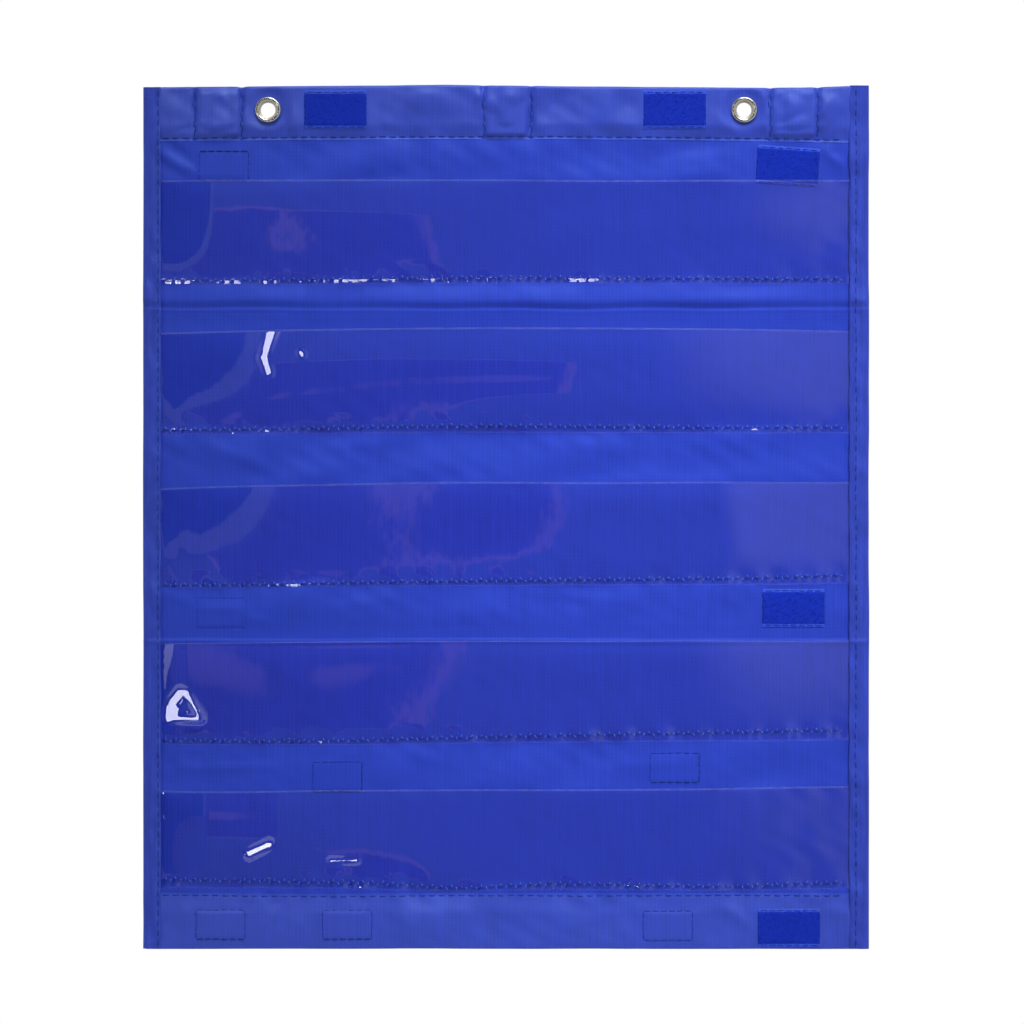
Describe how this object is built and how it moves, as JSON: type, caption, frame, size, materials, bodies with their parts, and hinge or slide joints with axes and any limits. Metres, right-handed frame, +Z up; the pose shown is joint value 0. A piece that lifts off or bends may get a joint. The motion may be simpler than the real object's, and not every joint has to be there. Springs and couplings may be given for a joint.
{
  "type": "wall pocket organizer",
  "caption": "Flat nylon wall chart with clear pocket strips open at the top, a grommeted magnetic header, bound sides and hook-and-loop patches; it folds flat for storage.",
  "frame": {"origin": "midway between the two grommets' centres, on the back face of the cloth, where hooks or pins hold the chart up", "axes": "+X to the right across the chart as seen from the room, -Y out of the wall towards the room, +Z up the chart"},
  "size_m": [0.305, 0.0089, 0.3615],
  "materials": {
    "nylon": "royal blue ripstop nylon, slight sheen",
    "edging": "royal blue nylon tape",
    "clear_vinyl": "clear glossy flexible vinyl",
    "loop_pile": "deep blue brushed loop pile",
    "hook_pile": "deep blue stiff hook pile",
    "nickel": "nickel-plated, polished",
    "ferrite": "dark grey magnet"
  },
  "bodies": {
    "upper_third": {"upper_cloth": "nylon", "left_tape_upper": "edging", "right_tape_upper": "edging", "pocket_1": "clear_vinyl", "magnet_left": "ferrite", "magnet_middle": "ferrite", "magnet_right": "ferrite", "eyelet_left": "nickel", "eyelet_right": "nickel", "washer_left": "nickel", "washer_right": "nickel", "loop_patch_header_left": "loop_pile", "loop_patch_header_right": "loop_pile", "loop_patch_top": "loop_pile", "hook_patch_top": "hook_pile"},
    "middle_third": {"middle_cloth": "nylon", "left_tape_middle": "edging", "right_tape_middle": "edging", "pocket_2": "clear_vinyl", "pocket_3": "clear_vinyl", "loop_patch_middle": "loop_pile", "hook_patch_middle": "hook_pile"},
    "lower_third": {"lower_cloth": "nylon", "left_tape_lower": "edging", "right_tape_lower": "edging", "pocket_4": "clear_vinyl", "pocket_5": "clear_vinyl", "loop_patch_hem": "loop_pile", "hook_patch_lower_left": "hook_pile", "hook_patch_lower_right": "hook_pile", "hook_patch_hem_outer": "hook_pile", "hook_patch_hem_left": "hook_pile", "hook_patch_hem_right": "hook_pile"}
  },
  "joints": [
    {"name": "fold_1", "type": "hinge", "parent": "upper_third", "child": "middle_third", "pos_m": [0, -0.00195, -0.0835], "axis": [-1, 0, 0], "range_deg": [0, 140]},
    {"name": "fold_2", "type": "hinge", "parent": "middle_third", "child": "lower_third", "pos_m": [0, 0.0011, -0.22159], "axis": [1, 0, 0], "range_deg": [0, 178]}
  ]
}
